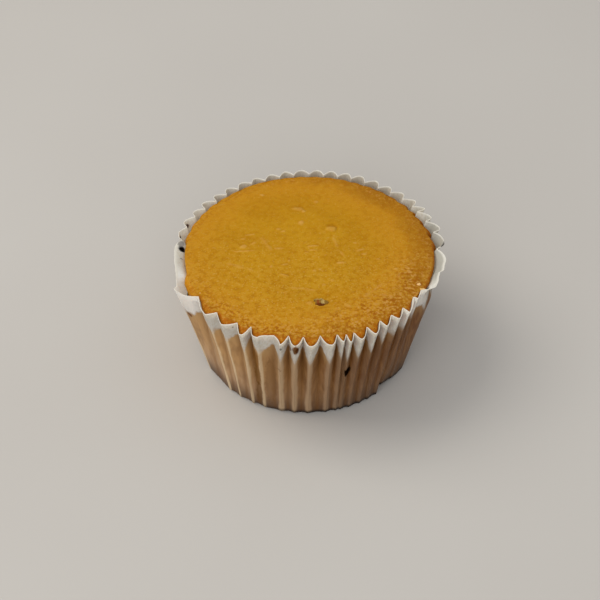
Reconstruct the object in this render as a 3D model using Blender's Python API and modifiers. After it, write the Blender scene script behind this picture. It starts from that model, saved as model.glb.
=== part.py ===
"""A plain round muffin in its pleated paper case.

Two pieces, in metres, +Z up, standing on the floor with the origin under the
middle of the base and the front, the side with the dent, towards -Y:
  paper_case  one thin sheet, flat under the cake and pleated up the wall
  cake        the solid crumb that fills the case, with one dark flake baked on

Both are turned shapes first. Each point of a turned shape is then moved by the
same rule, which gives the wall its pleats, its oval rim and its dented foot.
"""

import math
import random

import bmesh
import bpy
from mathutils import Matrix, Vector, noise

MM = 0.001
MERGE = 0.01 * MM
SHARP_FOLD = math.radians(50.0)   # folds sharper than this show a crease

# Paper case
CASE_HEIGHT = 31.0 * MM          # mean height of the rim
BASE_RADIUS = 26.25 * MM         # just above the rounded corner of the base
RIM_RADIUS = 33.5 * MM           # half way between the outer and inner folds
RIM_FLARE = 0.5 * MM             # how far the free rim curls out past a straight wall
FLARE_POWER = 4                  # the flare is nearly all at the top
WALL_ROWS = [1.0, 0.74, 0.45, 0.17]  # rows of points up the wall, as shares of its height
PAPER = 0.3 * MM                 # the sheet, as thick as a solid can be made well
CORNER = 0.5 * MM                # size of the corner between base and wall
RIM_SHIFT = 0.4 * MM             # how far the rim has moved to the right
FOOT_SHIFT = (-0.2 * MM, -0.4 * MM)  # and the foot of the wall to the left and to the front
OVAL = 0.0095                    # share by which the rim is longer one way
OVAL_ANGLE = math.radians(-45.0)  # the long way of the rim, from the front
SPREAD = 0.65 * MM               # the rim also spreads on both sides, a little behind the middle
SPREAD_ANGLE = math.radians(108.0)
SPREAD_WIDTH = math.radians(28.0)

# Pleats. Angles run from the front (-Y) towards the right (+X).
RIM_DEPTH = 2.9 * MM             # from outer to inner fold at the rim
BASE_DEPTH = 0.5 * MM            # the same at the foot of the wall
FOLD_LIFT = 0.35 * MM            # inner folds stand steeper, so they end higher
WIDTH_JITTER = 0.09              # share by which ordinary pleats differ in width
REACH_JITTER = 0.12              # share by which their folds reach more or less
HEIGHT_JITTER = 0.22 * MM        # unevenness of the cut edge
RISE_POWER = 3                   # both are nearly all at the top
SEED = 7

# The pleats that show, from the left round the front to the right: angle of the outer fold
# in degrees, its reach, then where the inner fold after it lies, as a share of the way to
# the next outer fold, and its reach. An ordinary pleat has 1, 0.5 and -1. One on the left
# is pulled wide open to a corner, and on the right they lean over and then lie open.
SHOWN_PLEATS = [
    (-120.5, 0.9, 0.50, -0.4), (-112.9, 0.9, 0.50, -0.4), (-104.3, 0.6, 0.50, -0.4),
    (-94.5, 0.55, 0.50, 0.6), (-68.8, 2.4, 0.50, -0.8), (-48.0, 0.7, 0.35, -0.8),
    (-39.1, 0.6, 0.56, -1.0), (-29.3, 0.9, 0.35, -1.2), (-21.9, 0.5, 0.66, -0.65),
    (-12.4, 1.0, 0.50, -1.0), (-6.0, 1.0, 0.50, -1.0), (0.6, 1.0, 0.50, -1.05),
    (9.1, 1.0, 0.55, -0.95), (14.2, 0.75, 0.50, -0.5), (17.0, 1.1, 0.57, -0.7),
    (22.0, 1.0, 0.69, -1.0), (28.5, 0.95, 0.79, -1.1), (34.8, 0.5, 0.74, -1.0),
    (42.0, 0.35, 0.88, -1.0), (48.0, 0.4, 0.95, -1.3), (57.1, -0.4, 0.44, -0.9),
    (68.4, 0.85, 0.57, 0.75), (74.4, 0.6, 0.57, 0.5), (80.3, 1.05, 0.42, 0.95),
    (86.5, 1.05, 0.57, -0.7), (98.8, 0.85, 0.67, -0.6), (108.1, 0.95, 0.70, -1.0),
    (115.5, 0.7, 0.79, -1.0),
]
BACK_FROM = 121.6                # the ordinary ones behind run on from here
BACK_PLEATS = 17
BACK_OPEN = 0.3                  # their inner folds are pressed out by this much
FOLD_ROOM = 0.3                  # an inner fold of the thick sheet stays this far from both
                                 # outer folds, as a share of the pleat

# A fold is drawn by these columns: (place in the pleat, share of the way from the
# pleat's middle to its outer fold, +1, or inner fold, -1)
PAPER_COLUMNS = [(0.0, 1.0), (0.13, 0.62), (0.37, -0.62), (0.5, -1.0), (0.63, -0.62), (0.87, 0.62)]
CAKE_COLUMNS = [(0.0, 1.0), (0.25, 0.0), (0.37, -0.62), (0.5, -1.0), (0.63, -0.62), (0.75, 0.0)]

# Dent: a stretch of the foot is pushed in and off the floor, with one steep end
DENT_START = math.radians(42.5)
DENT_END = math.radians(63.0)
DENT_LIFT = 1.9 * MM
DENT_PUSH = 0.9 * MM
DENT_HEIGHT = 9.0 * MM           # how far up the wall it fades out
DENT_FROM = 0.80                 # share of the base's radius where it begins
DENT_FULL = 0.93                 # and where it is full
CAKE_DENT_LEAD = math.radians(4.0)  # the cake gives way this much to either side of it

# Cake
GAP = 0.3 * MM                   # between the cake and the paper
CAKE_INSET = 1.46 * MM           # from the case's outer face to the cake, along a radius
CROWN_HEIGHT = 31.2 * MM         # middle of the domed top
DOME_POWER = 2.4                 # flat in the middle, falling away towards the edge
EDGE_HEIGHT = 30.1 * MM          # top where the browned edge begins to turn down
SHOULDER_HEIGHT = 28.3 * MM      # where the turned-down edge meets the side
EDGE_INWARD = 0.15 * MM          # half way down the turned-down edge lies this far inside
EDGE_BULGE = 0.1 * MM            # a straight line, and this far above it
TOP_RINGS = [0.0, 0.38, 0.66, 0.87, 0.96]  # rings of points on the top, as shares of its edge
TOP_UNEVENNESS = 0.22 * MM
LUMP_SIZE = 9.0 * MM
PAPER_FADE = 0.80                # share of the wall's radius where the paper's pleats begin
CAKE_FADE = 0.90                 # and the cake's, whose top edge is smoother

# Flake on the cake
FLAKE_X = 3.2 * MM
FLAKE_Y = -18.9 * MM
FLAKE_LENGTH = 3.7 * MM
FLAKE_WIDTH = 2.5 * MM
FLAKE_THICKNESS = 0.7 * MM
FLAKE_TURN = math.radians(-12.0)
FLAKE_TILT = math.radians(9.0)
FLAKE_SINK = 0.25 * MM
FLAKE_WAVES = [(3, 0.13, 0.6), (5, 0.08, 0.0)]  # its outline: waves, share of its size, phase
FLAKE_CURL = 0.35                # how far its ends curl up, as a share of its thickness


def clear_scene():
    for old in list(bpy.data.objects):
        bpy.data.objects.remove(old, do_unlink=True)


def material(name, colour, roughness):
    made = bpy.data.materials.new(name)
    made.use_nodes = True
    shader = made.node_tree.nodes["Principled BSDF"]
    shader.inputs["Base Color"].default_value = (*colour, 1.0)
    shader.inputs["Roughness"].default_value = roughness
    shader.inputs["Metallic"].default_value = 0.0
    return made


def smooth_step(share):
    share = min(max(share, 0.0), 1.0)
    return share * share * (3.0 - 2.0 * share)


def pleat_table():
    """Each pleat as (start angle, width, reach of its outer fold, place and reach of its
    inner fold, rise)."""
    draw = random.Random(SEED)
    starts = [shown[0] for shown in SHOWN_PLEATS] + [BACK_FROM]
    table = []
    for number, (start, outer, place, inner) in enumerate(SHOWN_PLEATS):
        width = starts[number + 1] - start
        place = min(max(place, FOLD_ROOM), 1.0 - FOLD_ROOM)
        rise = draw.uniform(-HEIGHT_JITTER, HEIGHT_JITTER)
        table.append((math.radians(start), math.radians(width), outer, place, inner, rise))
    shares = [1.0 + draw.uniform(-WIDTH_JITTER, WIDTH_JITTER) for number in range(BACK_PLEATS)]
    left = math.tau - math.radians(BACK_FROM - starts[0])
    angle = math.radians(BACK_FROM)
    for share in shares:
        width = left * share / sum(shares)
        outer = 1.0 + draw.uniform(-REACH_JITTER, REACH_JITTER)
        inner = BACK_OPEN - 1.0 - draw.uniform(-REACH_JITTER, REACH_JITTER)
        rise = draw.uniform(-HEIGHT_JITTER, HEIGHT_JITTER)
        table.append((angle, width, outer, 0.5, inner, rise))
        angle += width
    return table


def column_table(pleats, columns):
    """(angle, reach, rise) of every column of points round the case."""
    table = []
    for number, (start, width, outer, middle, inner, rise) in enumerate(pleats):
        after = pleats[(number + 1) % len(pleats)]
        for place, swing in columns:
            if place < 0.5:
                crest = outer
                share = 2.0 * place * middle
            else:
                crest = after[2]
                share = 1.0 - 2.0 * (1.0 - place) * (1.0 - middle)
            reach = 0.5 * (crest + inner) + 0.5 * swing * (crest - inner)
            table.append((start + share * width, reach, rise))
    return table


def wall_radius(height):
    share = height / CASE_HEIGHT
    straight = BASE_RADIUS + (RIM_RADIUS - RIM_FLARE - BASE_RADIUS) * share
    return straight + RIM_FLARE * share ** FLARE_POWER


def half_depth(height):
    share = min(height / CASE_HEIGHT, 1.0)
    return 0.5 * (BASE_DEPTH + (RIM_DEPTH - BASE_DEPTH) * share)


def spread(angle):
    """How far the rim reaches out on both sides, a little behind the middle."""
    aside = abs(abs(math.remainder(angle, math.tau)) - SPREAD_ANGLE) / SPREAD_WIDTH
    return SPREAD * smooth_step(1.0 - aside)


def dent_share(angle, height, lead):
    """How much of the dent acts at a point: full at its steep end, nothing at the other."""
    angle = math.remainder(angle, math.tau)
    if angle < DENT_START - lead or angle > DENT_END + lead:
        return 0.0
    along = (angle - DENT_START) / (DENT_END + lead - DENT_START)
    return (1.0 - max(along, 0.0)) * smooth_step(1.0 - height / DENT_HEIGHT)


def pleated(radius, height, column, fade, dent_lead):
    """Where a point of the turned shape goes in the pleated, oval, dented one."""
    angle, fold, rise = column
    up = min(max(height / CASE_HEIGHT, 0.0), 1.0)
    outward = radius / wall_radius(height)
    grip = smooth_step((outward - fade) / (1.0 - fade))
    reach = radius + grip * (fold * half_depth(height) + spread(angle) * up ** RISE_POWER)
    reach *= 1.0 + OVAL * up * math.cos(2.0 * (angle - OVAL_ANGLE))
    lift = grip * up ** RISE_POWER * (rise - fold * FOLD_LIFT)
    give = smooth_step((outward - DENT_FROM) / (DENT_FULL - DENT_FROM))
    dent = give * dent_share(angle, height, dent_lead)
    reach -= dent * DENT_PUSH
    lift += dent * DENT_LIFT
    across = reach * math.sin(angle) + RIM_SHIFT * up + FOOT_SHIFT[0] * (1.0 - up)
    along = -reach * math.cos(angle) + FOOT_SHIFT[1] * (1.0 - up)
    return Vector((across, along, height + lift))


def turned(profile, columns, fade, dent_lead):
    """Spin a profile of (radius, height) points once round and pleat the result."""
    bm = bmesh.new()
    line = [bm.verts.new((radius, 0.0, height)) for radius, height in profile]
    edges = [bm.edges.new(pair) for pair in zip(line, line[1:])]
    bmesh.ops.spin(bm, geom=line + edges, cent=(0.0, 0.0, 0.0), axis=(0.0, 0.0, 1.0),
                   dvec=(0.0, 0.0, 0.0), angle=math.tau, steps=len(columns), use_merge=True)
    bmesh.ops.remove_doubles(bm, verts=bm.verts, dist=MERGE)
    for vert in bm.verts:
        radius = math.hypot(vert.co.x, vert.co.y)
        share = (math.atan2(vert.co.y, vert.co.x) / math.tau) % 1.0
        number = round(share * len(columns)) % len(columns)
        vert.co = pleated(radius, vert.co.z, columns[number], fade, dent_lead)
    bmesh.ops.recalc_face_normals(bm, faces=bm.faces)
    lowest = min(bm.faces, key=lambda face: face.calc_center_median().z)
    if lowest.normal.z > 0.0:
        bmesh.ops.reverse_faces(bm, faces=bm.faces)
    return bm


def finish(bm, name, skin, collection):
    mesh = bpy.data.meshes.new(name)
    bm.to_mesh(mesh)
    bm.free()
    mesh.shade_smooth()
    mesh.set_sharp_from_angle(angle=SHARP_FOLD)
    mesh.materials.append(skin)
    made = bpy.data.objects.new(name, mesh)
    collection.objects.link(made)
    return made


def paper_case(pleats, collection):
    """One sheet: the flat base, the small round corner and the pleated wall."""
    heights = [share * CASE_HEIGHT for share in WALL_ROWS] + [CORNER]
    profile = [(wall_radius(height), height) for height in heights]
    profile += [(BASE_RADIUS - CORNER, 0.0), (PAPER_FADE * BASE_RADIUS, 0.0), (0.0, 0.0)]
    bm = turned(profile, column_table(pleats, PAPER_COLUMNS), PAPER_FADE, 0.0)
    skin = material("greaseproof paper", (0.62, 0.52, 0.40), 0.6)
    case = finish(bm, "paper_case", skin, collection)
    thicken = case.modifiers.new("sheet thickness", "SOLIDIFY")
    thicken.thickness = PAPER
    thicken.offset = -1.0
    thicken.use_even_offset = True
    return case


def top_height(radius):
    """The low dome of the top, before its unevenness."""
    edge_radius = wall_radius(EDGE_HEIGHT) - CAKE_INSET
    return CROWN_HEIGHT - (CROWN_HEIGHT - EDGE_HEIGHT) * (radius / edge_radius) ** DOME_POWER


def lumps(point):
    return TOP_UNEVENNESS * noise.noise(Vector((point.x, point.y, 0.0)) / LUMP_SIZE)


def cake(pleats, collection):
    """The crumb: a low dome, an edge that turns down, sides that follow the paper."""
    edge = wall_radius(EDGE_HEIGHT) - CAKE_INSET
    shoulder = wall_radius(SHOULDER_HEIGHT) - CAKE_INSET
    floor = PAPER + GAP
    side_heights = [CASE_HEIGHT / 2.0, CORNER + floor]
    profile = [(share * edge, top_height(share * edge)) for share in TOP_RINGS]
    profile += [(shoulder - EDGE_INWARD, (EDGE_HEIGHT + SHOULDER_HEIGHT) / 2.0 + EDGE_BULGE)]
    profile += [(shoulder, SHOULDER_HEIGHT)]
    profile += [(wall_radius(height) - CAKE_INSET, height) for height in side_heights]
    profile += [(BASE_RADIUS - CORNER - CAKE_INSET, floor), (0.0, floor)]
    bm = turned(profile, column_table(pleats, CAKE_COLUMNS), CAKE_FADE, CAKE_DENT_LEAD)
    for vert in bm.verts:
        if vert.co.z > (EDGE_HEIGHT + SHOULDER_HEIGHT) / 2.0:
            vert.co.z += lumps(vert.co)
    skin = material("baked sponge", (0.50, 0.24, 0.022), 0.55)
    return finish(bm, "cake", skin, collection)


def flake(collection):
    """The dark flake: a flat lens with a curled outline, half sunk in the crust."""
    bm = bmesh.new()
    bmesh.ops.create_uvsphere(bm, u_segments=12, v_segments=6, radius=0.5)
    for vert in bm.verts:
        around = math.atan2(vert.co.y, vert.co.x)
        ragged = 1.0
        for waves, depth, phase in FLAKE_WAVES:
            ragged += depth * math.sin(waves * around + phase)
        vert.co.x *= FLAKE_LENGTH * ragged
        vert.co.y *= FLAKE_WIDTH * ragged
        curl = FLAKE_CURL * (vert.co.x / FLAKE_LENGTH) ** 2
        vert.co.z = (vert.co.z + curl) * FLAKE_THICKNESS
    turn = Matrix.Rotation(FLAKE_TURN, 4, "Z") @ Matrix.Rotation(FLAKE_TILT, 4, "X")
    here = Vector((FLAKE_X, FLAKE_Y, 0.0))
    here.z = top_height(here.length) + lumps(here) + FLAKE_THICKNESS / 2.0 - FLAKE_SINK
    bm.transform(Matrix.Translation(here) @ turn)
    skin = material("toasted flake", (0.12, 0.07, 0.03), 0.6)
    return finish(bm, "flake", skin, collection)


def fuse(base, additions):
    """Join everything in the collection to the base, and remove what was joined."""
    join = base.modifiers.new("baked on", "BOOLEAN")
    join.operation = "UNION"
    join.solver = "EXACT"
    join.operand_type = "COLLECTION"
    join.collection = additions
    bpy.context.view_layer.update()
    evaluated = base.evaluated_get(bpy.context.evaluated_depsgraph_get())
    mesh = bpy.data.meshes.new_from_object(evaluated)
    base.modifiers.remove(join)
    base.data = mesh
    mesh.name = base.name
    for extra in list(additions.objects):
        bpy.data.objects.remove(extra, do_unlink=True)
    bpy.data.collections.remove(additions)


def main():
    clear_scene()
    muffin = bpy.data.collections.new("muffin")
    bpy.context.scene.collection.children.link(muffin)
    additions = bpy.data.collections.new("baked_on_cake")
    bpy.context.scene.collection.children.link(additions)
    pleats = pleat_table()
    paper_case(pleats, muffin)
    crumb = cake(pleats, muffin)
    flake(additions)
    fuse(crumb, additions)


main()
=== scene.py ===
# %% [markdown]
# # A plain muffin in its pleated paper case
#
# The real thing is two pieces. A thin greaseproof paper case, about 70 mm across and
# 31 mm high, is pleated up its wall and flat under the base. A round cake fills it, with
# a low golden dome that was baked a little darker at the edge. One dark flake lies on
# the dome, and a few crumbs sit on the rim.
#
# This lesson dresses the solid model of the muffin. The solids stay as they are. Each
# new piece follows the same shape, with the fine surface that the solids leave out.

# %% Load the solid model as a fixed frame
import bisect
import math
import random

import bmesh
import bpy
from mathutils import Euler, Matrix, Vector, noise


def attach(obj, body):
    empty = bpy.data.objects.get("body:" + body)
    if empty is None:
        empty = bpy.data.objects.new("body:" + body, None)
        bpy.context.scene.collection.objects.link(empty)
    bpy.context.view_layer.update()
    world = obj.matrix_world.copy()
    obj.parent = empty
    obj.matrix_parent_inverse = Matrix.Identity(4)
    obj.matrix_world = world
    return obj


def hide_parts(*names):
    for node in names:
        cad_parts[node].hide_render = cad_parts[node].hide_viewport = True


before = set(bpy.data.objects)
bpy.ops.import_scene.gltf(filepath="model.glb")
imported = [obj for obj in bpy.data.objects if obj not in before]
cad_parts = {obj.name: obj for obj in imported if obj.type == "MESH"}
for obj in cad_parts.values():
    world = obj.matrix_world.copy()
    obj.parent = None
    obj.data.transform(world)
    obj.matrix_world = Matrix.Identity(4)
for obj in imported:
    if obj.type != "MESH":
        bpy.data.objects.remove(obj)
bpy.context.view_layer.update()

MM = 0.001


def in_mm(values):
    return [round(value / MM, 2) for value in values]


def report(piece):
    count = sum(len(face.vertices) - 2 for face in piece.data.polygons)
    print(piece.name, "has", count, "triangles and measures", in_mm(piece.dimensions), "mm")


def deselect():
    """An operator acts on all that is selected, so each new piece starts from nothing."""
    bpy.ops.object.select_all(action="DESELECT")


# %% [markdown]
# ## The shape of the case, in one rule
#
# A paper case is a turned cup whose wall is gathered into pleats. So one rule can place
# every point of it: take a point by its angle round the muffin and its height, find how
# far the pleat at that angle reaches out or in, and move the point by that much. The
# rule has nearly the same sizes as the solid model, so the paper and the cake fit it and
# fit each other. A rule like this beats moving points by hand, because 45 pleats then
# differ in a controlled way, and both pieces can ask it the same question.

# %% Driving sizes of the case
CASE_HEIGHT = 31.0 * MM          # mean height of the rim
BASE_RADIUS = 26.25 * MM         # just above the rounded corner of the base
RIM_RADIUS = 33.42 * MM          # half way between the outer and inner folds
RIM_FLARE = 0.5 * MM             # how far the free rim curls out past a straight wall
FLARE_POWER = 4                  # the flare is nearly all at the top
CORNER = 0.5 * MM                # size of the corner between base and wall
RIM_SHIFT = 0.4 * MM             # how far the rim has moved to the right
FOOT_SHIFT = (-0.2 * MM, -0.4 * MM)  # and the foot of the wall to the left and to the front
OVAL = 0.0095                    # share by which the rim is longer one way
OVAL_ANGLE = math.radians(-45.0)  # the long way of the rim, from the front
SPREAD = 0.65 * MM               # the rim also spreads on both sides, a little behind the middle
SPREAD_ANGLE = math.radians(108.0)
SPREAD_WIDTH = math.radians(28.0)
PAPER_FADE = 0.80                # share of the wall's radius where the pleats begin

# %% The pleats: those that the photograph shows, and ordinary ones behind
RIM_DEPTH = 2.9 * MM             # from outer to inner fold at the rim
BASE_DEPTH = 0.5 * MM            # the same at the foot of the wall
FOLD_LIFT = 0.35 * MM            # inner folds stand steeper, so they end higher
WIDTH_JITTER = 0.09              # share by which ordinary pleats differ in width
REACH_JITTER = 0.12              # share by which their folds reach more or less
HEIGHT_JITTER = 0.22 * MM        # unevenness of the cut edge
RISE_POWER = 3                   # both are nearly all at the top
SEED = 7
RIM_ROUNDNESS = 2.0              # see the section of one pleat, below

# From the left round the front to the right: angle of the outer fold in degrees, its
# reach, then where the inner fold after it lies, as a share of the way to the next outer
# fold, its reach, and the roundness. An ordinary pleat has 1, 0.5 and -1.
SHOWN_PLEATS = [
    (-120.5, 0.9, 0.50, -0.4, 2.0), (-112.9, 0.9, 0.50, -0.4, 2.0), (-104.3, 0.6, 0.50, -0.4, 2.0),
    (-94.5, 0.55, 0.50, 0.6, 0.3), (-68.8, 2.0, 0.50, -0.8, 1.7), (-48.0, 0.7, 0.35, -0.8, 1.2),
    (-39.1, 0.6, 0.56, -1.0, 1.4), (-29.3, 0.9, 0.35, -1.3, 3.5), (-21.9, 0.5, 0.66, -0.65, 0.5),
    (-12.4, 1.0, 0.50, -1.0, 2.0), (-6.0, 1.0, 0.50, -1.0, 2.2), (0.6, 1.0, 0.50, -1.05, 2.2),
    (9.1, 1.0, 0.60, -0.95, 2.0), (14.3, 0.75, 0.70, -0.5, 1.6), (16.8, 1.1, 0.57, -0.7, 2.0),
    (22.0, 1.0, 0.69, -1.0, 1.8), (28.5, 0.95, 0.79, -1.1, 1.6), (34.8, 0.5, 0.74, -1.0, 1.5),
    (42.0, 0.35, 0.88, -1.0, 1.5), (48.0, 0.4, 0.95, -1.3, 1.5), (57.1, -0.4, 0.44, -0.9, 1.2),
    (68.4, 0.85, 0.57, 0.75, 1.5), (74.4, 0.6, 0.57, 0.5, 1.5), (80.3, 1.05, 0.42, 0.95, 1.5),
    (86.5, 1.05, 0.57, -0.7, 2.5), (98.8, 0.85, 0.67, -0.6, 2.5), (108.1, 0.95, 0.70, -1.0, 2.2),
    (115.5, 0.7, 0.79, -1.0, 2.0),
]
BACK_FROM = 121.6                # the ordinary ones behind run on from here
BACK_PLEATS = 17
BACK_OPEN = 0.3                  # their inner folds are pressed out by this much


def pleat_table():
    """Each pleat as (start angle, width, reach of its outer fold, place and reach of its
    inner fold, rise, roundness)."""
    draw = random.Random(SEED)
    starts = [shown[0] for shown in SHOWN_PLEATS] + [BACK_FROM]
    table = []
    for number, (start, outer, place, inner, power) in enumerate(SHOWN_PLEATS):
        width = starts[number + 1] - start
        rise = draw.uniform(-HEIGHT_JITTER, HEIGHT_JITTER)
        table.append((math.radians(start), math.radians(width), outer, place, inner, rise, power))
    shares = [1.0 + draw.uniform(-WIDTH_JITTER, WIDTH_JITTER) for number in range(BACK_PLEATS)]
    left = math.tau - math.radians(BACK_FROM - starts[0])
    angle = math.radians(BACK_FROM)
    for share in shares:
        width = left * share / sum(shares)
        outer = 1.0 + draw.uniform(-REACH_JITTER, REACH_JITTER)
        inner = BACK_OPEN - 1.0 - draw.uniform(-REACH_JITTER, REACH_JITTER)
        rise = draw.uniform(-HEIGHT_JITTER, HEIGHT_JITTER)
        table.append((angle, width, outer, 0.5, inner, rise, RIM_ROUNDNESS))
        angle += width
    return table


pleats = pleat_table()
pleat_starts = [pleat[0] for pleat in pleats]
print("pleats:", len(pleats), "each about", round(math.tau * RIM_RADIUS / len(pleats) / MM, 1), "mm")

# %% [markdown]
# ## The section of one pleat
#
# At the rim the outer folds are round and the inner folds are pointed, which gives the
# cut edge its row of small teeth. Near the base the cake presses the panels flat against
# each other, and the outer folds stay as narrow ribs. Both are the same curve with a
# different power: a share of the way from the outer to the inner fold, raised to a power
# above 1, is round outside, and below 1 it is round inside.

# %% How far the paper reaches at any angle and height
FOOT_ROUNDNESS = 0.60            # power at the foot: narrow ribs between flat panels
STAIN_ROUNDNESS = 1.6            # power of the stain's arches: more makes them narrower


def fold_at(angle, height):
    """The pleat at an angle and height, as (reach, arch, away, aside, rise): how far it
    reaches, how far it would for the stain's arches, the share of the way to the inner
    fold, the angle to the outer fold, and the rise of the rim."""
    turn = pleat_starts[0] + (angle - pleat_starts[0]) % math.tau
    number = bisect.bisect_right(pleat_starts, turn) - 1
    start, width, outer, middle, inner, rise, rim_power = pleats[number]
    place = (turn - start) / width
    if place < middle:
        away = place / middle
        aside = place * width
        beside = pleats[number - 1]
        crest = outer
    else:
        away = (1.0 - place) / (1.0 - middle)
        aside = (1.0 - place) * width
        beside = pleats[(number + 1) % len(pleats)]
        crest = beside[2]
    up = min(max(height / CASE_HEIGHT, 0.0), 1.0)
    power = FOOT_ROUNDNESS + (rim_power - FOOT_ROUNDNESS) * up ** 2
    reach = crest + (inner - crest) * away ** power
    arch = crest + (inner - crest) * away ** STAIN_ROUNDNESS
    crest_rise = 0.5 * (rise + beside[5])
    return reach, arch, away, aside, crest_rise + (rise - crest_rise) * away


def wall_radius(height):
    """The wall's radius at a height, half way between its outer and inner folds."""
    share = height / CASE_HEIGHT
    straight = BASE_RADIUS + (RIM_RADIUS - RIM_FLARE - BASE_RADIUS) * share
    return straight + RIM_FLARE * share ** FLARE_POWER


def smooth_step(share):
    """The share held between 0 and 1, which then starts and ends gently."""
    share = min(max(share, 0.0), 1.0)
    return share * share * (3.0 - 2.0 * share)


def apart(angle, middle=0.0):
    """How far an angle is from another, or from the front, to either side."""
    return abs(math.remainder(angle - middle, math.tau))


def half_depth(height):
    """How far an ordinary fold reaches out of the wall or into it at a height."""
    share = min(height / CASE_HEIGHT, 1.0)
    return 0.5 * (BASE_DEPTH + (RIM_DEPTH - BASE_DEPTH) * share)


# %% The dent in the foot
DENT_START = math.radians(42.5)
DENT_END = math.radians(63.0)
DENT_LIFT = 1.9 * MM
DENT_PUSH = 0.9 * MM
DENT_HEIGHT = 9.0 * MM           # how far up the wall it fades out
DENT_FROM = 0.80                 # share of the base's radius where it begins
DENT_FULL = 0.93                 # and where it is full
CAKE_DENT_LEAD = math.radians(2.0)  # the cake gives way this much to either side of it


def dent_share(angle, height, lead):
    """How much of the dent acts at a point: full at its steep end, nothing at the other."""
    angle = math.remainder(angle, math.tau)
    if angle < DENT_START - lead or angle > DENT_END + lead:
        return 0.0
    along = (angle - DENT_START) / (DENT_END + lead - DENT_START)
    return (1.0 - max(along, 0.0)) * smooth_step(1.0 - height / DENT_HEIGHT)


# %% Two stretches where the paper clings smoothly to the cake and its rim turns out
# (middle of the stretch, half its width, where the cake leaves the paper, how far in it is)
TUCKS = [
    (math.radians(-87.5), math.radians(11.5), 29.7 * MM, 1.25 * MM),
    (math.radians(81.0), math.radians(15.5), 29.85 * MM, 0.75 * MM),
]
TUCK_HEIGHT = 29.7 * MM          # where it lies furthest in
TUCK_SPAN = 10.0 * MM            # how far below that the tuck fades out
TUCK_FADE = (1.25, 0.85)         # to the side it fades out over these shares of its width


def tuck_share(angle, middle, half_width):
    """1 on the stretch, 0 away from it."""
    fade_end, fade_start = TUCK_FADE
    return smooth_step((fade_end - apart(angle, middle) / half_width) / (fade_end - fade_start))


def smoothed(free, angle, height):
    """How far out a point lies: as its pleat says, or on the cake where the paper clings."""
    if height > TUCK_HEIGHT:
        share = (CASE_HEIGHT - height) / (CASE_HEIGHT - TUCK_HEIGHT)
    else:
        share = 1.0 - (TUCK_HEIGHT - height) / TUCK_SPAN
    for middle, width, top, depth in TUCKS:
        free += (-depth - free) * smooth_step(share) * tuck_share(angle, middle, width)
    return free


# %% The rule itself
WOBBLE = 0.30 * MM               # how far a fold line strays to either side
WOBBLE_SIZE = 6.0 * MM
CRINKLE = 0.10 * MM              # creases in the panels, mostly up and down
CRINKLE_SIZE = 1.1 * MM
CRINKLE_HEIGHT = 7.0 * MM
PULLED_CORNER = math.radians(-68.8)  # the cake doesn't fill this corner of the rim
CORNER_WIDTH = math.radians(9.5)
CORNER_HOLD = 0.9                # it stays back by this share of the fold's reach
LEAN = math.radians(2.2)         # in front the folds spread apart downwards, by this much at most
LEAN_END = math.radians(45.0)    # and no further round than this


def lean(angle):
    """How far the foot of a fold has moved to the side."""
    angle = math.remainder(angle, math.tau)
    return LEAN * math.sin(4.0 * angle) if abs(angle) < LEAN_END else 0.0


def spread(angle):
    """How far the rim reaches out on both sides, a little behind the middle."""
    return SPREAD * smooth_step(1.0 - abs(apart(angle) - SPREAD_ANGLE) / SPREAD_WIDTH)


def place_on_case(angle, radius, height, inset=0.0):
    """Where a point of the turned shape lies in the pleated case, and how its pleat runs."""
    up = min(max(height / CASE_HEIGHT, 0.0), 1.0)
    round_x = wall_radius(height) * math.sin(angle)
    round_y = -wall_radius(height) * math.cos(angle)
    stray = noise.noise(Vector((round_x, round_y, height * 0.5)) / WOBBLE_SIZE)
    fold = fold_at(angle + WOBBLE * up * stray / RIM_RADIUS, height)
    reach, rise = fold[0], fold[4]
    if inset:
        hold = smooth_step(2.0 - 2.0 * apart(angle, PULLED_CORNER) / CORNER_WIDTH)
        reach = min(reach, 1.0 - CORNER_HOLD * hold)
    outward = radius / wall_radius(height)
    grip = smooth_step((outward - PAPER_FADE) / (1.0 - PAPER_FADE))
    spot = Vector((round_x / CRINKLE_SIZE, round_y / CRINKLE_SIZE, height / CRINKLE_HEIGHT))
    crease = noise.noise(spot)
    free = reach * half_depth(height) + spread(angle) * up ** RISE_POWER
    out = radius + grip * (smoothed(free, angle, height) + CRINKLE * up * crease)
    out *= 1.0 + OVAL * up * math.cos(2.0 * (angle - OVAL_ANGLE))
    lift = grip * up ** RISE_POWER * (rise - min(reach, 1.0) * FOLD_LIFT)
    give = smooth_step((outward - DENT_FROM) / (DENT_FULL - DENT_FROM))
    turned = angle + lean(angle) * (1.0 - up)
    dent = give * dent_share(turned, height, CAKE_DENT_LEAD if inset else 0.0)
    out -= dent * DENT_PUSH + inset
    lift += dent * DENT_LIFT
    across = out * math.sin(turned) + RIM_SHIFT * up + FOOT_SHIFT[0] * (1.0 - up)
    along = -out * math.cos(turned) + FOOT_SHIFT[1] * (1.0 - up)
    return Vector((across, along, height + lift)), fold


# %% [markdown]
# ## Camera, floor and light
#
# The photograph looks down on the muffin at about 41 degrees, from far enough away that
# the wall hardly narrows. The rim, the base and the sides of the case fix the camera:
# one ellipse seen at two heights allows only one elevation and distance. The light there
# is soft daylight from the upper left and a little behind, so a large area lamp stands
# there. A wider one in front lights the wall, and a pale sky fills the shadows.

# %% Camera
IMAGE_SIZE = 600.0               # the picture is 600 by 600 pixels
SENSOR = 36.0                    # mm, the camera's default
FOCAL_PIXELS = 2504.6
CAMERA_ELEVATION = math.radians(41.0855)
CAMERA_DISTANCE = 650.0 * MM
TARGET = Vector((0.0, 0.0, 0.5 * CASE_HEIGHT))
TARGET_PIXEL = (307.3, 299.3)    # where the middle of the muffin is in the photograph

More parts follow.
